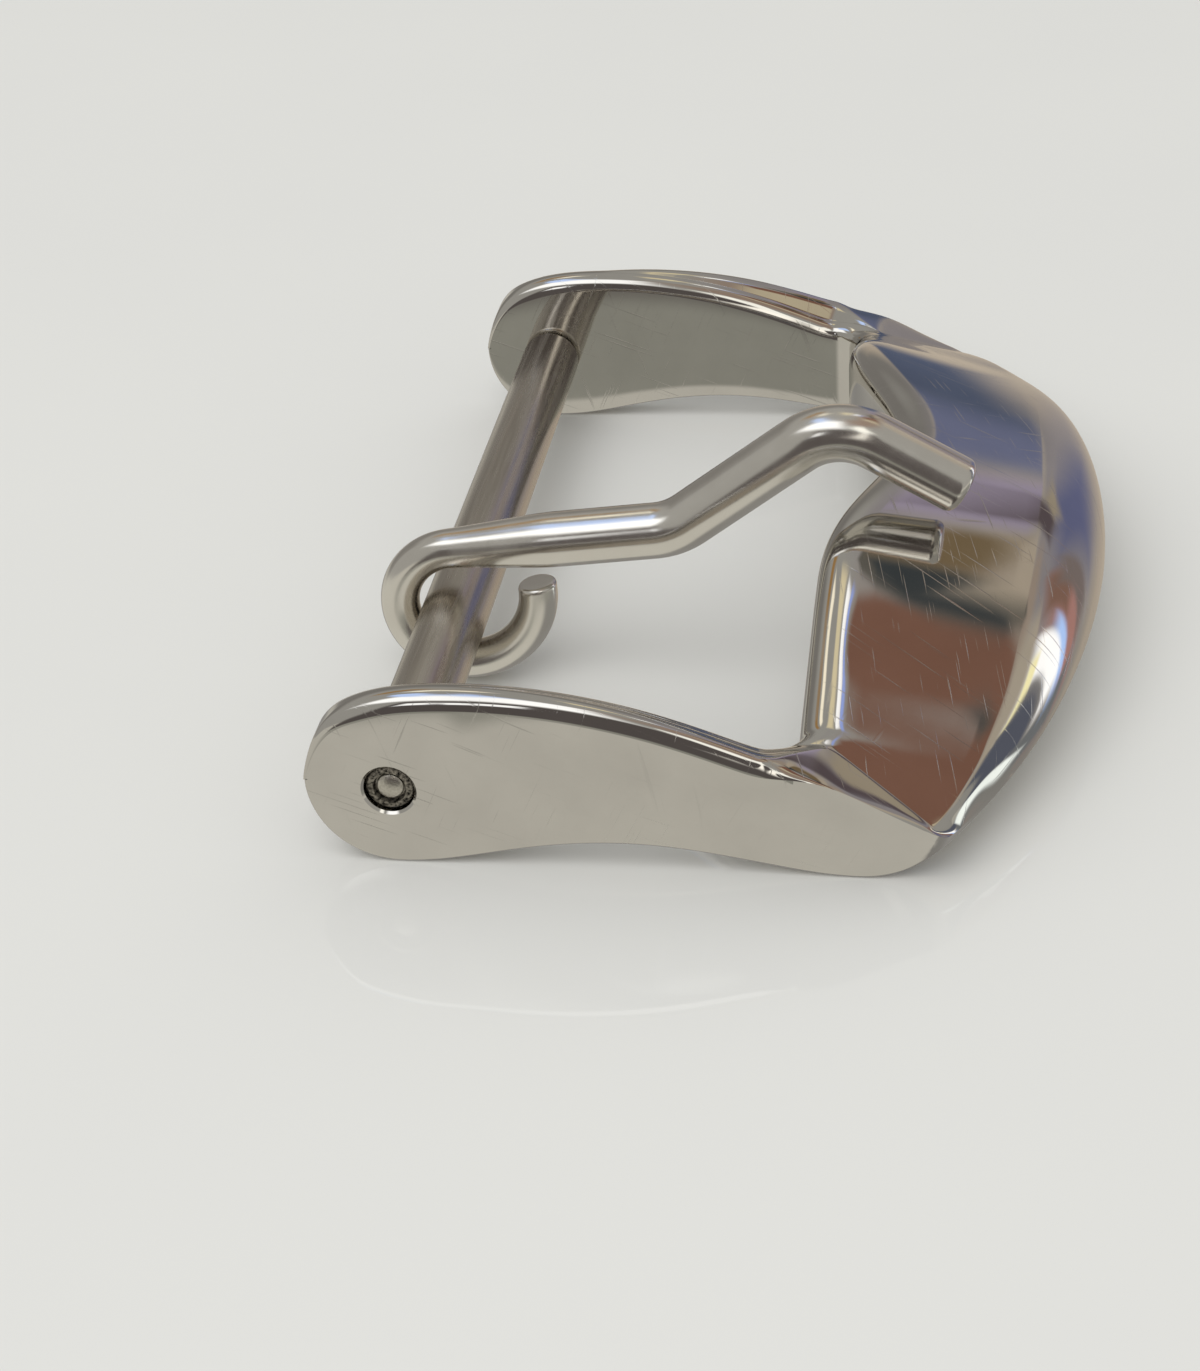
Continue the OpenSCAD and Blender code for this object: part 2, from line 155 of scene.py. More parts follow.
# The corner: its rounding seen from above, its toe, and both ends of the mitre between arm and
# bow. Shares of the way round: the toe, the mitre's inner end and the start of the rounding. The
# arm ends at the share foot_t of the arch's front half.
corner_r = 0.6
toe_c, mitre_c, plan_c = 0.6, 0.25, 0.1
foot_t = 0.55
toe_x, toe_z = bow_out - bow_curve - bow_corner, -1.02
toe_drop, wall_lift = np.array([-0.47, 0, -0.35]), 0.18
mitre_in, mitre_out = np.array([8.88, -10.19, 0.79]), np.array([11.01, -11.4, -0.29])
ridge_swell = [0.12, 0, 0.02]
heel_to_toe = [heel, (10.3, -1.75), (toe_x - 0.25, toe_z - 0.35), (toe_x, toe_z)]
neck_to_toe = [(neck[0], neck[1] - neck_edge), (8.9, 0.62), (9.1, 0.27),
               (toe_x - 1.1, toe_z + 0.8), (toe_x, toe_z + 0.3)]
neck_to_mitre = [(neck[0], -inner_y - neck_edge, neck[1]), (8.4, -inner_y - neck_edge, 0.93), mitre_in]


def corner_stations(c):
    """The same eight points as the section turns from the arm, at c = 0, into the bow, at c = 1.
    The outer ones reach the toe at toe_c and then follow the bow; the fourth is the mitre."""
    end_y = inner_y - corner_r
    end = bow_stations(np.array([end_y]))[0]
    past = np.maximum(0, (c - toe_c) / (1 - toe_c))
    bow = bow_stations(outer_y + (end_y - outer_y) * past)
    before_toe, before_mitre = (c < toe_c)[:, None], (c < mitre_c)[:, None]
    lean = side_lean * ((1 - past) ** 2)[:, None]
    drop = toe_drop * ((1 - past) ** 5)[:, None]
    lift = np.stack([0 * c, 0 * c, wall_lift * (1 - past) ** 2], 1)

    share = np.clip(c / toe_c, 0, 1)
    foot = np.where((share < 0.5)[:, None],
                    curve(arch_front, foot_t + (1 - foot_t) * np.minimum(1, 2 * share)),
                    curve(heel_to_toe, np.maximum(0, 2 * share - 1)))
    under = np.where(before_toe, across(foot, -outer_y), bow[:, 0])
    wall = lean + np.where(before_toe, across(curve(neck_to_toe, share), -outer_y), bow[:, 1] + lift)

    to_mitre = np.clip(c / mitre_c, 0, 1)
    to_toe = np.clip((c - mitre_c) / (toe_c - mitre_c), 0, 1)
    to_bow = np.clip((c - mitre_c) / (1 - mitre_c), 0, 1)
    start = np.array([neck[0], neck_edge - outer_y, neck[1]]) + side_lean
    toe_to_bow = [mitre_out, mitre_out * 0.5 + end[3] * 0.5 + ridge_swell, end[3]]
    ridge = np.where(before_mitre, curve([start, mitre_in], to_mitre), curve([mitre_in, mitre_out], to_toe))
    ridge = np.where(before_toe, ridge, curve(toe_to_bow, past))
    square = np.stack([ridge[:, 0], wall[:, 1], ridge[:, 2]], 1)
    pull = np.where(before_toe, square * 0.8 + (wall + ridge) * 0.1, bow[:, 2] + lean + drop * pull_share)
    face = np.where(before_mitre, curve(neck_to_mitre, to_mitre),
                    curve([mitre_in, (9.1, -10.0, 0.8), end[4]], to_bow))

    turn = np.pi / 2 * np.clip((c - plan_c) / (1 - plan_c), 0, 1)
    plan_x = np.where(c < plan_c, neck[0] + (bow_in - corner_r - neck[0]) * c / plan_c,
                      bow_in + (end[7, 0] - bow_in) * c - corner_r * (1 - np.sin(turn)))
    plan_y = np.where(c < plan_c, -inner_y, -inner_y + corner_r * (1 - np.cos(turn)))
    neck_under = curve(arch_front, np.array([foot_t]))[0, 1]
    inside = lambda a, b: np.stack([plan_x, plan_y, a + (b - a) * c], 1)
    return np.stack([
        under, wall, pull, ridge, face,
        inside(neck[1], end[5, 2]),
        inside(neck[1] - neck_edge, end[6, 2]),
        inside(neck_under, end[7, 2]),
    ], 1)


# The half rim's stations are spaced evenly along it, and their rows are averaged with their
# neighbours a few times, which rounds the creases between arm, corner and bow as polishing does
stretch_count, station_count, passes = 300, 290, 10
lobe_start, first_edge, edge_full_at = 0.004, 0.06, 0.75
t = np.linspace(lobe_start, 1, stretch_count)
lobe_edge = first_edge + (full_edge - first_edge) * np.minimum(1, t / edge_full_at) ** 2
lobe = arm_stations(lobe_top, t, curve(lobe_under, t), lobe_edge)
u = np.linspace(0, 1, stretch_count)
arch = np.where((u < 0.5)[:, None], curve(arch_back, np.minimum(1, 2 * u)),
                curve(arch_front, np.maximum(0, 2 * u - 1) * foot_t))
arm = arm_stations(arm_top, u, arch, full_edge + (neck_edge - full_edge) * u)
bow = bow_stations((inner_y - corner_r) * (1 - u))
stations = np.concatenate([lobe, arm[1:], corner_stations(u)[1:], bow[1:]])
steps = np.linalg.norm(np.diff(stations, axis=0), axis=2).max(1)
along = np.concatenate([[0], np.cumsum(steps)])
even = np.linspace(0, along[-1], station_count)
flat = stations.reshape(len(stations), -1)
half_rim = np.stack([np.interp(even, along, column) for column in flat.T], 1).reshape(-1, 8, 3)
for _ in range(passes):
    half_rim[1:-1] = half_rim[1:-1] / 2 + (half_rim[:-2] + half_rim[2:]) / 4


def unit(v):
    """v / |v|, along the last axis."""
    return v / np.maximum(1e-9, np.linalg.norm(v, axis=-1, keepdims=True))


def rounding(a, pull, b, steps, weight):
    """Arc from a to b that leaves both towards pull, as a conic: weight 0.707 on a square corner
    gives a quarter circle, and 1 gives a parabola."""
    s = np.linspace(0, 1, steps + 1)[None, :, None]
    w = 2 * np.reshape(weight, (-1, 1, 1)) * s * (1 - s)
    ends = (1 - s) ** 2 * a[:, None] + s**2 * b[:, None]
    return (ends + w * pull[:, None]) / ((1 - s) ** 2 + s**2 + w)


def straight(a, b, steps):
    """Points between a and b, without the ends, as both belong to the roundings."""
    s = (np.arange(1, steps) / steps)[None, :, None]
    return a[:, None] * (1 - s) + b[:, None] * s


def sections(rim, foot_r, ridge_r):
    """Closed section through each station: four roundings and the ridge's small one, joined by
    straight runs. foot_r rounds the two lower edges and ridge_r the ridge, which takes no more
    than a share of the room beside it. The upper roundings are circular on the arms and turn into
    parabolas over blend_l from bow_starts in X."""
    low_out, wall, pull, ridge, face, roll, inner, low_in = np.moveaxis(rim, 1, 0)
    circle, small_edge, room_share = 0.707, 0.8, 0.45
    bow_starts, blend_l = 8, 3
    weight = circle + (1 - circle) * np.clip((rim[:, 0, 0] - bow_starts) / blend_l, 0, 1)
    inward = unit(low_in - low_out) * foot_r
    out_up, in_up = low_out + unit(wall - low_out) * foot_r, low_in + unit(inner - low_in) * foot_r
    room = np.minimum(np.linalg.norm(ridge - pull, axis=1), np.linalg.norm(face - ridge, axis=1))
    back = np.minimum(ridge_r, room_share * room)[:, None]
    before, after = ridge - unit(ridge - pull) * back, ridge + unit(face - ridge) * back
    return np.concatenate([
        rounding(low_out + inward, low_out, out_up, 5, small_edge),
        straight(out_up, wall, 6),
        rounding(wall, pull, before, 18, weight),
        rounding(before, ridge, after, 6, small_edge)[:, 1:],
        straight(after, face, 10),
        rounding(face, roll, inner, 14, weight),
        straight(inner, in_up, 5),
        rounding(in_up, low_in, low_in - inward, 5, small_edge),
        straight(low_in - inward, low_out + inward, 5),
    ], 1)


def surface(name, grid, loop=False, sharp=30):
    """Mesh over a grid of points in millimetres. Each row is a closed ring; the rows' ends are
    closed by a flat face each, or joined where loop says that the last row meets the first."""
    rows, count = grid.shape[:2]
    i, j = np.meshgrid(np.arange(rows if loop else rows - 1), np.arange(count), indexing="ij")
    a, b = i * count + j, i * count + (j + 1) % count
    up = lambda k: (k + count) % (rows * count)
    quads = np.stack([a, b, up(b), up(a)], -1).reshape(-1, 4)
    points = grid.reshape(-1, 3)
    p = points[quads] - points.mean(0)
    outward = np.cross(p[:, 1] - p[:, 0], p[:, 3] - p[:, 0])
    if np.einsum("ij,ij->i", p[:, 0] + p[:, 2], outward).sum() < 0:
        quads = quads[:, ::-1]
    faces = quads.tolist()
    if not loop:
        first = list(range(count))
        last = list(range((rows - 1) * count, rows * count))
        flipped = faces[0][0] + 1 == faces[0][1]
        faces += [first[::-1], last] if flipped else [first, last[::-1]]
    mesh = bpy.data.meshes.new(name)
    mesh.from_pydata((points * 1e-3).tolist(), [], faces)
    mesh.update()
    mesh.shade_smooth()
    mesh.set_sharp_from_angle(angle=np.radians(sharp))
    piece = bpy.data.objects.new(name, mesh)
    bpy.context.scene.collection.objects.link(piece)
    return piece


def lathe(profile, sides=96):
    """Rings of a profile of radius and place along Y, carried round the Y axis."""
    a = np.linspace(0, 2 * np.pi, sides, endpoint=False)[:, None]
    r, y = np.asarray(profile, float).T
    return np.stack([r * np.cos(a), y + 0 * a, r * np.sin(a)], -1)


half = sections(half_rim, foot_r=0.12, ridge_r=0.2)
rim = np.concatenate([half, half[-2::-1] * [1, -1, 1]])
frame_piece = surface("frame_polished", rim)

# The drill leaves a tiny chamfer at both mouths of each hole
mouth, flare, room, drill_end = 0.05, 1.9, 0.4, 13
half_drill = [(0.001, drill_end), (hole_r + flare + mouth, drill_end), (hole_r, outer_y - mouth),
              (hole_r, inner_y + mouth), (hole_r + room, inner_y + mouth - room)]
drill = [(r, -y) for r, y in half_drill] + half_drill[::-1]
cutter = surface("drill", lathe(drill), loop=True)
cut = frame_piece.modifiers.new("holes", "BOOLEAN")
cut.object, cut.operation, cut.solver = cutter, "DIFFERENCE", "EXACT"
drilled = bpy.data.meshes.new_from_object(frame_piece.evaluated_get(bpy.context.evaluated_depsgraph_get()))
frame_piece.modifiers.clear()
frame_piece.data = drilled
drilled.name = "frame_polished"
drilled.set_sharp_from_angle(angle=np.radians(30))
bpy.data.objects.remove(cutter)


def linear(hex_colour):
    """sRGB hex to linear RGBA: below 0.04045 a straight line, above it a power of 2.4."""
    c = np.array([int(hex_colour[k:k + 2], 16) / 255 for k in (1, 3, 5)])
    c = np.where(c <= 0.04045, c / 12.92, ((c + 0.055) / 1.055) ** 2.4)
    return (*c.tolist(), 1.0)


def grain(size):
    """Noise scale, per metre, of a pattern whose grains are size millimetres across."""
    return 1000 / size


def node(material, kind, inputs=None, **settings):
    """Adds one node. Settings are its own choices; inputs are sockets' values, or outputs that
    feed them."""
    made = material.node_tree.nodes.new("ShaderNode" + kind)
    for key, value in settings.items():
        setattr(made, key, value)
    for key, value in (inputs or {}).items():
        if isinstance(value, bpy.types.NodeSocket):
            material.node_tree.links.new(value, made.inputs[key])
        else:
            made.inputs[key].default_value = value
    return made


def finish_named(name):
    """A new material with an empty node tree, and its output node."""
    material = bpy.data.materials.new(name)
    material.use_nodes = True
    material.node_tree.nodes.clear()
    return material, node(material, "OutputMaterial")


# Polished stainless steel: a mirror with a faint warm grey tint. Wear leaves hairlines in three
# main directions, and a slight haze between them. Each row is the direction across its lines,
# their width and their length; a cell of the noise is twice as wide as a line.
hairline_sets = [
    ((0.59, 1.04, 0.19), 0.026, 3.0),
    ((0.38, -0.42, 1.0), 0.022, 2.2),
    ((0.9, 0.35, -0.4), 0.02, 1.6),
]
steel, steel_out = finish_named("polished_stainless_steel")
place = node(steel, "TexCoord").outputs["Object"]
hairlines = []
for across_line, width, length in hairline_sets:
    turned = node(steel, "Mapping", {
        "Vector": place,
        "Rotation": Vector(across_line).to_track_quat("X", "Z").to_euler(),
        "Scale": (2e-3 * width, 1e-3 * length, 1e-3 * length),
    }, vector_type="TEXTURE")
    noise = node(steel, "TexNoise", {"Vector": turned.outputs[0], "Scale": 1.0, "Detail": 1.0})
    line = node(steel, "MapRange", {"Value": noise.outputs["Fac"], "From Min": 0.69, "From Max": 0.765})
    hairlines.append(line.outputs[0])
pair = node(steel, "Math", {0: hairlines[0], 1: hairlines[1]}, operation="MAXIMUM").outputs[0]
lines = node(steel, "Math", {0: pair, 1: hairlines[2]}, operation="MAXIMUM").outputs[0]
haze = node(steel, "TexNoise", {"Vector": place, "Scale": grain(1.6), "Detail": 4.0}).outputs["Fac"]
base_rough = node(steel, "MapRange", {
    "Value": haze, "From Min": 0.3, "From Max": 0.7, "To Min": 0.03, "To Max": 0.06})
rough = node(steel, "Math", {0: lines, 1: 0.22, 2: base_rough.outputs[0]}, operation="MULTIPLY_ADD")
wave = node(steel, "Bump", {"Height": haze, "Strength": 0.4, "Distance": 0.000002})
grooves = node(steel, "Bump", {
    "Height": lines, "Strength": 0.25, "Distance": 0.000002, "Normal": wave.outputs[0]}, invert=True)
tint = node(steel, "MixRGB", {"Fac": haze, "Color1": linear("#c2c0bc"), "Color2": linear("#d6d4d0")})
shader = node(steel, "BsdfPrincipled", {
    "Base Color": tint.outputs[0],
    "Metallic": 1.0,
    "Roughness": rough.outputs[0],
    "Normal": grooves.outputs[0],
})
steel.node_tree.links.new(shader.outputs[0], steel_out.inputs[0])

frame_piece.data.materials.clear()
frame_piece.data.materials.append(steel)
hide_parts("frame")
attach(frame_piece, "frame")


# Tongue.
# A length of round stainless wire, drawn down at one end, bent cold into a hook round the
# spring bar, a long flat run, a rise and a hump, and tumbled smooth. Its tip ends just above
# the bow's face.
tongue_y, wire_r, loop_wire_r = -3.6, 0.62, 0.44
bar_r, loop_gap = 0.75, 0.04
loop_mid = np.array([0.13, 0.14])
loop_r = bar_r + loop_gap + np.hypot(*loop_mid) + loop_wire_r
hook_open, hook_end, flat_turn = 0.35, np.radians(8), np.radians(6.6)
taper_l, foot_x, foot_bend_r, hump_bend_r = 2.2, 5.04, 1.6, 1.5
hump, tip = np.array([8.6, 4.8]), np.array([11.35, 3.24])
tip_round, hook_round = 0.2, 0.1
ring_count, taper_passes = 330, 30


def heading(a):
    """Direction of the angle a, in X and Z: cos(a), sin(a)."""
    return np.stack([np.cos(a), np.sin(a)], -1)


def arc(middle, r, start, end, count, radius):
    """Stops on an arc whose heading goes from start to end: X, Z, heading and wire radius."""
    a = np.linspace(start, end, count)
    side = np.sign(end - start)
    return np.column_stack([middle + side * r * heading(a - np.pi / 2), a, np.full(count, radius)])


def bend(before, at, after, r, count, radius):
    """Stops on the arc of radius r that rounds the corner between two straight runs."""
    a, b = (np.arctan2(*(q - p)[::-1]) for p, q in ((before, at), (at, after)))
    start = at - heading(a) * r * np.tan(abs(b - a) / 2)
    return arc(start + np.sign(b - a) * r * heading(a + np.pi / 2), r, a, b, count, radius)


loop_top = loop_mid + loop_r * heading(flat_turn + np.pi / 2)
taper_end = loop_top + taper_l * heading(flat_turn)
foot = np.array([foot_x, loop_top[1] + (foot_x - loop_top[0]) * np.tan(flat_turn)])
route = np.concatenate([
    arc(loop_mid + [0, hook_open], loop_r + hook_open, 1.5 * np.pi + hook_end, np.pi, 60, loop_wire_r),
    arc(loop_mid, loop_r, np.pi, flat_turn, 100, loop_wire_r)[1:],
    [[*taper_end, flat_turn, wire_r]],
    bend(loop_top, foot, hump, foot_bend_r, 30, wire_r),
    bend(foot, hump, tip, hump_bend_r, 50, wire_r),
    [[*tip, np.arctan2(*(tip - hump)[::-1]), wire_r]],
])
steps = np.linalg.norm(np.diff(route[:, :2], axis=0), axis=1)
run = np.concatenate([[0], np.cumsum(steps)])
stops = np.linspace(0, run[-1], ring_count)
x, z, a, r = (np.interp(stops, run, column) for column in route.T)
for _ in range(taper_passes):
    r[1:-1] = r[1:-1] / 2 + (r[:-2] + r[2:]) / 4


def tube(x, z, a, r, y, sides=72):
    """Rings of radius r square to the wire's heading a: up is the heading turned by 90 degrees."""
    b = np.linspace(0, 2 * np.pi, sides, endpoint=False)[None, :]
    out = (r[:, None] * np.cos(b))[..., None] * heading(a + np.pi / 2)[:, None]
    return np.stack([x[:, None] + out[..., 0], y + r[:, None] * np.sin(b), z[:, None] + out[..., 1]], -1)


def rounded_end(x, z, a, r, edge, way, steps=8):
    """The last rings of a wire whose end is flat with a rounded edge: rings shrink on a quarter
    circle of radius edge, and end in a ring of a tenth of the wire. The wire ends along its
    heading where way is 1, and against it where way is -1."""
    q = np.linspace(0, np.pi / 2, steps)
    back = np.append(edge * (1 - np.sin(q)), 0)
    shrink = np.append(r - edge + edge * np.cos(q), r * 0.1)
    ahead = heading(np.array([a]))[0] * way
    return x - back * ahead[0], z - back * ahead[1], np.full(steps + 1, a), shrink


tip_cap = rounded_end(x[-1], z[-1], a[-1], r[-1], tip_round, 1)
hook_cap = [part[::-1] for part in rounded_end(x[0], z[0], a[0], r[0], hook_round, -1)]
between = (stops > hook_round) & (stops < run[-1] - tip_round)
x, z, a, r = (np.concatenate([h, m[between], c]) for h, m, c in zip(hook_cap, (x, z, a, r), tip_cap))
tongue_piece = surface("tongue_wire", tube(x, z, a, r, tongue_y), sharp=60)

wire, wire_out = finish_named("tumbled_stainless_wire")
place = node(wire, "TexCoord").outputs["Object"]
soft = node(wire, "TexNoise", {"Vector": place, "Scale": grain(0.7), "Detail": 3.0}).outputs["Fac"]
fine = node(wire, "TexNoise", {"Vector": place, "Scale": grain(0.09), "Detail": 2.0}).outputs["Fac"]
rough = node(wire, "MapRange", {
    "Value": soft, "From Min": 0.3, "From Max": 0.7, "To Min": 0.15, "To Max": 0.22})
swell = node(wire, "Bump", {"Height": soft, "Strength": 0.5, "Distance": 0.000004})
dents = node(wire, "Bump", {
    "Height": fine, "Strength": 0.2, "Distance": 0.000001, "Normal": swell.outputs[0]})
tint = node(wire, "MixRGB", {"Fac": soft, "Color1": linear("#d8d5cf"), "Color2": linear("#e4e2dd")})
shader = node(wire, "BsdfPrincipled", {
    "Base Color": tint.outputs[0],
    "Metallic": 1.0,
    "Roughness": rough.outputs[0],
    "Normal": dents.outputs[0],
})
wire.node_tree.links.new(shader.outputs[0], wire_out.inputs[0])

tongue_piece.data.materials.append(wire)
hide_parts("tongue")
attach(tongue_piece, "tongue")


# Spring bar: barrel, two tips and the spring inside.
# The barrel is thin steel tube with its ends rolled in; the tips are turned steel, and the
# spring between their heads is hard steel wire. All are cheaper steel than the frame, a bit dull.
barrel_y, lip = 10.2, 0.25
bore_r = 0.6
# Radius and distance from the barrel's end, over the rolled edge from the lip to the outside
rolled = [(hole_r, 0.03), (hole_r + 0.03, 0), (0.64, 0), (0.7, 0.02), (0.74, 0.06), (bar_r, 0.13)]
outside = [(r, back - barrel_y) for r, back in rolled] + [(r, barrel_y - back) for r, back in rolled[::-1]]
bore = [(hole_r, barrel_y - lip), (bore_r, barrel_y - lip),
        (bore_r, lip - barrel_y), (hole_r, lip - barrel_y)]
barrel_piece = surface("bar_tube", lathe(outside + bore), loop=True, sharp=40)

bar_steel, bar_out = finish_named("drawn_steel_tube")
place = node(bar_steel, "TexCoord").outputs["Object"]
drawn = node(bar_steel, "Mapping", {"Vector": place, "Scale": (grain(0.12), grain(3.0), grain(0.12))})
streak = node(bar_steel, "TexNoise", {"Vector": drawn.outputs[0], "Scale": 1.0, "Detail": 3.0}).outputs["Fac"]
rough = node(bar_steel, "MapRange", {
    "Value": streak, "From Min": 0.3, "From Max": 0.7, "To Min": 0.2, "To Max": 0.32})
dents = node(bar_steel, "Bump", {"Height": streak, "Strength": 0.4, "Distance": 0.000003})
tint = node(bar_steel, "MixRGB", {"Fac": streak, "Color1": linear("#b3ab9f"), "Color2": linear("#d6d1c8")})
shader = node(bar_steel, "BsdfPrincipled", {
    "Base Color": tint.outputs[0],
    "Metallic": 1.0,
    "Roughness": rough.outputs[0],
    "Normal": dents.outputs[0],
})
bar_steel.node_tree.links.new(shader.outputs[0], bar_out.inputs[0])

barrel_piece.data.materials.append(bar_steel)
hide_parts("bar_barrel")
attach(barrel_piece, "bar")

# A tip's outline, radius and place along the bar: spigot, head against the barrel's lip, shank
# in the arm's hole, and at its end a nub in a groove
spigot_r, head_r, tip_r, nub_r = 0.39, 0.57, 0.5, 0.29
play, head_l, spigot_l = 0.03, 0.8, 0.9
tip_end, groove = 11.0, 0.12
head_y = barrel_y - lip - play
head_back, spigot_end = head_y - head_l, head_y - head_l - spigot_l
tip_profile = [
    (0.002, spigot_end), (spigot_r - 0.06, spigot_end), (spigot_r, spigot_end + 0.06),
    (spigot_r, head_back), (head_r - 0.03, head_back), (head_r, head_back + 0.03),
    (head_r, head_y - 0.03), (head_r - 0.03, head_y), (tip_r, head_y),
    (tip_r, tip_end - 0.06), (tip_r - 0.02, tip_end - 0.02), (tip_r - 0.06, tip_end),
    (nub_r + 0.06, tip_end), (nub_r + 0.03, tip_end - groove), (nub_r, tip_end - groove),
    (nub_r - 0.01, tip_end - 0.06), (nub_r - 0.06, tip_end - 0.02), (0.002, tip_end - 0.02),
]

# The turned face of a tip is dark and speckled round its nub, which rubs clean on the strap's lugs: dark
# grime on the face, and painted shade in the hollow round the nub
clean_r, dark_r, ragged_by = 0.33e-3, 0.36e-3, 0.1e-3
grimy_shaded, grimy_shaded_out = finish_named("turned_steel_grime_and_shade")
place = node(grimy_shaded, "TexCoord").outputs["Object"]
beside_axis = node(grimy_shaded, "VectorMath", {0: place, 1: (1, 0, 1)}, operation="MULTIPLY").outputs[0]
radius = node(grimy_shaded, "VectorMath", {0: beside_axis}, operation="LENGTH").outputs["Value"]
grains = node(grimy_shaded, "TexNoise", {"Vector": place, "Scale": grain(0.06), "Detail": 3.0}).outputs["Fac"]
ragged = node(grimy_shaded, "Math", {0: grains, 1: ragged_by, 2: radius}, operation="MULTIPLY_ADD").outputs[0]
# Painted shade and grime: dark beyond the nub's hollow, with a ragged edge
grime_and_shade = node(grimy_shaded, "MapRange", {"Value": ragged, "From Min": clean_r, "From Max": dark_r}).outputs[0]
speckle = node(grimy_shaded, "MapRange", {"Value": grains, "From Min": 0.35, "From Max": 0.65}).outputs[0]
dark = node(grimy_shaded, "MixRGB", {"Fac": speckle, "Color1": linear("#1c1a18"), "Color2": linear("#b5b0a5")})
clean = node(grimy_shaded, "MixRGB", {"Fac": grains, "Color1": linear("#a39f95"), "Color2": linear("#dddad2")})
tint = node(grimy_shaded, "MixRGB", {"Fac": grime_and_shade, "Color1": clean.outputs[0], "Color2": dark.outputs[0]})
rough = node(grimy_shaded, "MapRange", {"Value": grime_and_shade, "To Min": 0.3, "To Max": 0.55})
dents = node(grimy_shaded, "Bump", {"Height": grains, "Strength": 0.6, "Distance": 0.00001})
shader = node(grimy_shaded, "BsdfPrincipled", {
    "Base Color": tint.outputs[0],
    "Metallic": 1.0,
    "Roughness": rough.outputs[0],
    "Normal": dents.outputs[0],
})
grimy_shaded.node_tree.links.new(shader.outputs[0], grimy_shaded_out.inputs[0])

for side, name in ((-1, "near"), (1, "far")):
    tip_piece = surface("bar_plunger_" + name, lathe(np.array(tip_profile) * [1, side]), loop=True, sharp=40)
    tip_piece.data.materials.append(grimy_shaded)
    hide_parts("bar_tip_" + name)
    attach(tip_piece, "tip_" + name)

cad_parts["bar_spring"].data.materials.clear()
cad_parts["bar_spring"].data.materials.append(bar_steel)


# Stage: a glossy pale table top, one soft light, and coloured cards that only the metal sees.
# The table top and the light themselves don't show in the metal, which sees a card in the
# table's place. Sizes and places here are in metres.
floor_z, floor_half = -0.00175, 6.0
floor_mesh = bpy.data.meshes.new("table_top")
floor_corners = [(x * floor_half, y * floor_half, floor_z) for x, y in ((-1, -1), (1, -1), (1, 1), (-1, 1))]
floor_mesh.from_pydata(floor_corners, [], [(0, 1, 2, 3)])
floor = bpy.data.objects.new("table_top", floor_mesh)
bpy.context.scene.collection.objects.link(floor)
top, top_out = finish_named("pale_glossy_laminate")
place = node(top, "TexCoord").outputs["Object"]
# The mottle's scale of 60 per metre makes blobs of about 17 mm
mottle = node(top, "TexNoise", {"Vector": place, "Scale": 60.0, "Detail": 3.0}).outputs["Fac"]
tint = node(top, "MixRGB", {"Fac": mottle, "Color1": linear("#dcdcd9"), "Color2": linear("#e0e0dc")})
matt = node(top, "BsdfDiffuse", {"Color": tint.outputs[0]})
gloss = node(top, "BsdfAnisotropic", {"Roughness": 0.03})
shader = node(top, "MixShader", {0: 0.08, 1: matt.outputs[0], 2: gloss.outputs[0]})
top.node_tree.links.new(shader.outputs[0], top_out.inputs[0])
floor_mesh.materials.append(top)
floor.visible_glossy = False

lamp = bpy.data.lights.new("ceiling", "AREA")
lamp.shape, lamp.size, lamp.energy = "SQUARE", 0.5, 1.42
ceiling = bpy.data.objects.new("ceiling", lamp)
ceiling.location = (-0.12, -0.28, 0.42)
ceiling.rotation_euler = (-ceiling.location).to_track_quat("-Z", "Y").to_euler()
ceiling.visible_glossy = False
bpy.context.scene.collection.objects.link(ceiling)

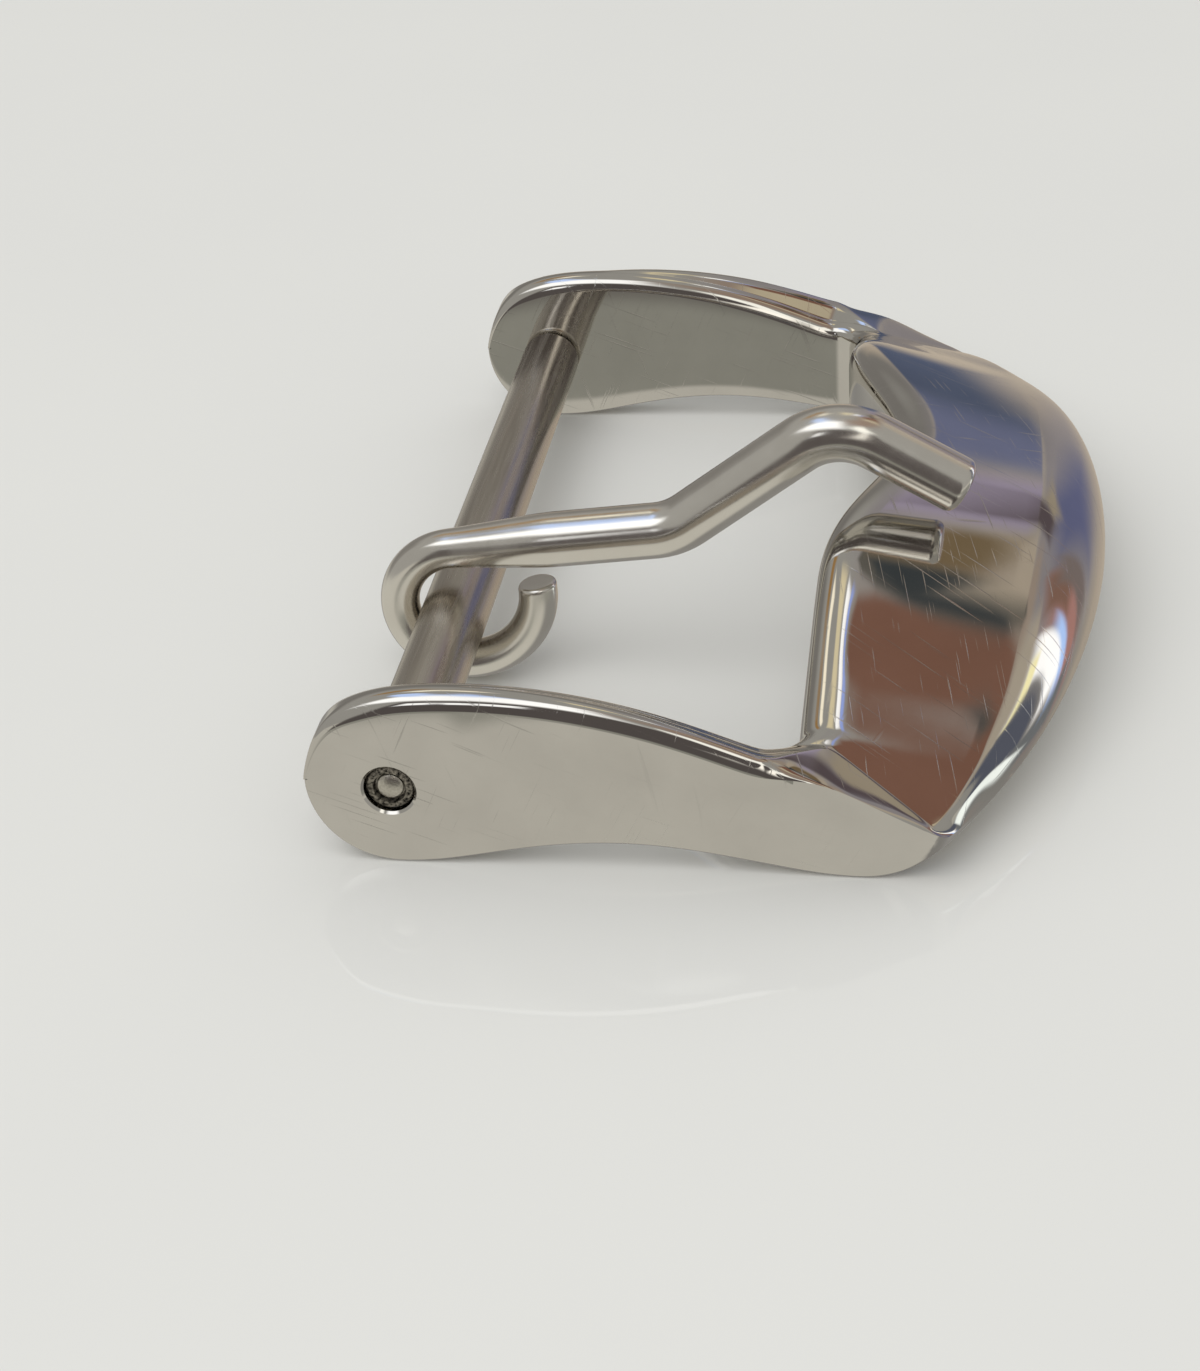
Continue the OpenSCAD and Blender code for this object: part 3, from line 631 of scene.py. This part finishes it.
# Mirror steel shows whatever stands round it, so glossy rays alone see soft cards in place of
# the plain sky, as a photographer's cards stand round polished metal: centre and half size in
# degrees (azimuth from +Y towards +X, elevation), turn, softness of the edge, and the colour
# that the steel shows there. Later cards cover earlier ones. The steel is taken to give back
# the share steel_share of their light, so they shine that much brighter.
room_grey, steel_share = "#8a8883", 0.6
cards = [
    (100, -50, 400, 46, 0, 0.03, "#a7a49b"),       # table, darker under the bow and beyond the near arm
    # painted shade: the table in the bow's shade
    (45, -52, 90, 37, 0, 0.2, "#767470"),
    # painted shade: the table beyond the near arm, in its shade
    (152, -24, 53, 5, 0, 0.25, "#7d7c74"),
    (-10, 14, 75, 20, 0, 0.5, "#6d6a66"),          # far wall
    (178, 9, 28, 29, 0, 0.08, "#4b4644"),          # dark front
    (212, 57, 30, 14, 0, 0.3, "#ffffff"),          # window
    (262, 68, 34, 5, 0, 0.5, "#b4c8f0"),
    (162, 34, 27, 2.5, -60, 0.4, "#fffaf0"),       # lamps
    (160, 45, 9, 9, -30, 0.4, "#f4f2ea"),
    (-42, 64, 10, 3, 0, 0.5, "#efe6d0"),
    (7, 72, 12, 6, 0, 0.5, "#c9bd9d"),
    (199, 25, 3, 5, 0, 0.5, "#ffffff"),
    (31, 70, 5, 4.5, 0, 0.4, "#ffffff"),
    (-42, 52, 14, 4, 0, 0.5, "#8a6c45"),           # wood, overhead and right
    (110, 68, 60, 10, 0, 0.5, "#857468"),
    (38.5, 67, 2, 4, 0, 0.5, "#8d9fd9"),           # sky between them
    (14, -12, 26, 20, 0, 0.5, "#988d7e"),          # beige wall on the right
    (36, 20, 26, 34, 0, 0.5, "#7d787a"),
    (45, 50, 14, 6, 30, 0.5, "#8a7d72"),
    (22, 33, 20, 4, 53, 0.5, "#8c857f"),
    (66, 46, 14, 7, 0, 0.3, "#9b9284"),
    (62.5, 63, 18, 7, 4, 0.12, "#6e5043"),         # rust brown, and beige past it
    (81, 66, 11, 7, 0, 0.4, "#a89d86"),
    (33, 10, 8, 16, -8, 0.7, "#575a76"),           # dusk blue, rust, brown and grey
    (52, 4, 5, 26, 0, 0.5, "#9b736c"),
    (50, 22, 4, 12, 0, 0.5, "#765b4f"),
    (46, 6, 3, 18, 0, 0.5, "#6d6360"),
    (72, 12, 6, 30, 0, 0.3, "#50535e"),
    (58, -20, 9, 7, 0, 0.4, "#66686a"),
    (57, 4, 2.2, 16, 0, 0.5, "#a8c4f4"),           # window on the right
    (61, 15, 3.2, 22, 0, 0.3, "#ffffff"),
    (63, 35, 2.2, 4, 0, 0.5, "#eee6b3"),
    (71, -19, 9, 3.5, 40, 0.4, "#eef4f0"),
    (39, 54, 7.5, 3.6, 0, 0.3, "#55524c"),         # dark furniture
    (41, 54.6, 5, 1.6, 20, 0.4, "#34383a"),
    (31, 47.5, 6.5, 2, 45, 0.4, "#675842"),
    (35, 46.5, 9, 1.6, 40, 0.5, "#9a8f80"),
    (20, 34, 8, 2.5, 62, 0.4, "#8b8293"),          # dusk blue beyond
    (11.5, 19, 7, 2.5, 65, 0.4, "#60647c"),
    (5, 3, 15, 3, 72, 0.4, "#474e60"),
    (28, 24, 5, 4, 0, 0.6, "#8a8070"),             # edge of a shelf, and painted shade over it
    # painted shade over the shelf's edge
    (28, 31.5, 8, 4, -20, 0.5, "#4e4548"),
]
world = bpy.data.worlds.new("studio")
bpy.context.scene.world = world
world.use_nodes = True
world.node_tree.nodes.clear()
ray = node(world, "SeparateXYZ", {0: node(world, "TexCoord").outputs["Generated"]}).outputs
round_about = node(world, "Math", {0: ray[0], 1: ray[1]}, operation="ARCTAN2").outputs[0]
degrees = node(world, "Math", {0: round_about}, operation="DEGREES").outputs[0]
# The cards' azimuths run once round, from the first of these to the second, in degrees
seam, seam_again = -80.0, 280.0
wrapped = node(world, "Math", {0: degrees, 1: seam_again, 2: seam}, operation="WRAP").outputs[0]
raised = node(world, "Math", {0: ray[2]}, operation="ARCSINE").outputs[0]
height = node(world, "Math", {0: raised}, operation="DEGREES").outputs[0]
direction = node(world, "CombineXYZ", {0: wrapped, 1: height}).outputs[0]
seen = node(world, "RGB").outputs[0]
seen.default_value = linear(room_grey)
for az, el, half_w, half_h, turn, soft, colour in cards:
    card = node(world, "Mapping", {
        "Vector": direction,
        "Location": (az, el, 0),
        "Rotation": (0, 0, np.radians(turn)),
        "Scale": (half_w, half_h, 1),
    }, vector_type="TEXTURE")
    from_middle = node(world, "VectorMath", {0: card.outputs[0]}, operation="ABSOLUTE")
    sides = node(world, "SeparateXYZ", {0: from_middle.outputs[0]}).outputs
    edge = node(world, "Math", {0: sides[0], 1: sides[1]}, operation="MAXIMUM")
    cover = node(world, "MapRange", {
        "Value": edge.outputs[0],
        "From Min": 1 + soft,
        "From Max": 1 - soft,
    }, interpolation_type="SMOOTHSTEP").outputs[0]
    seen = node(world, "MixRGB", {"Fac": cover, "Color1": seen, "Color2": linear(colour)}).outputs[0]
plain = node(world, "Background", {"Color": linear("#f5f5f4"), "Strength": 0.82})
carded = node(world, "Background", {"Color": seen, "Strength": 1 / steel_share})
glossy_ray = node(world, "LightPath").outputs["Is Glossy Ray"]
light = node(world, "MixShader", {0: glossy_ray, 1: plain.outputs[0], 2: carded.outputs[0]})
world.node_tree.links.new(light.outputs[0], node(world, "OutputWorld").inputs[0])
bpy.context.scene.view_settings.view_transform = "Standard"


# Camera.
# It was fitted to the photograph. It stands beyond the near arm and above it, 63 mm from the
# middle of the spring bar, with its right side 3.6 degrees low. Its place is in metres.
photo_height, focal_pixels, sensor = 1371, 2649.945, 36
azimuth, elevation, roll = np.radians([9.909, 30.934, -3.645])
camera_data = bpy.data.cameras.new("camera")
camera = bpy.data.objects.new("camera", camera_data)
bpy.context.scene.collection.objects.link(camera)
bpy.context.scene.camera = camera
# The photograph is upright, and the sensor's width goes with the longer side
camera_data.sensor_width = sensor
camera_data.lens = focal_pixels * sensor / photo_height
camera_data.clip_start, camera_data.clip_end = 0.001, 10
look = Vector((-np.sin(azimuth) * np.cos(elevation), np.cos(azimuth) * np.cos(elevation), -np.sin(elevation)))
right = look.cross(Vector((0, 0, 1))).normalized()
upward = right.cross(look)
turned_right = np.cos(roll) * right + np.sin(roll) * upward
turned_up = -np.sin(roll) * right + np.cos(roll) * upward
pose = Matrix([turned_right, turned_up, -look]).transposed().to_4x4()
pose.translation = (0.012108, -0.054768, 0.029193)
camera.matrix_world = pose
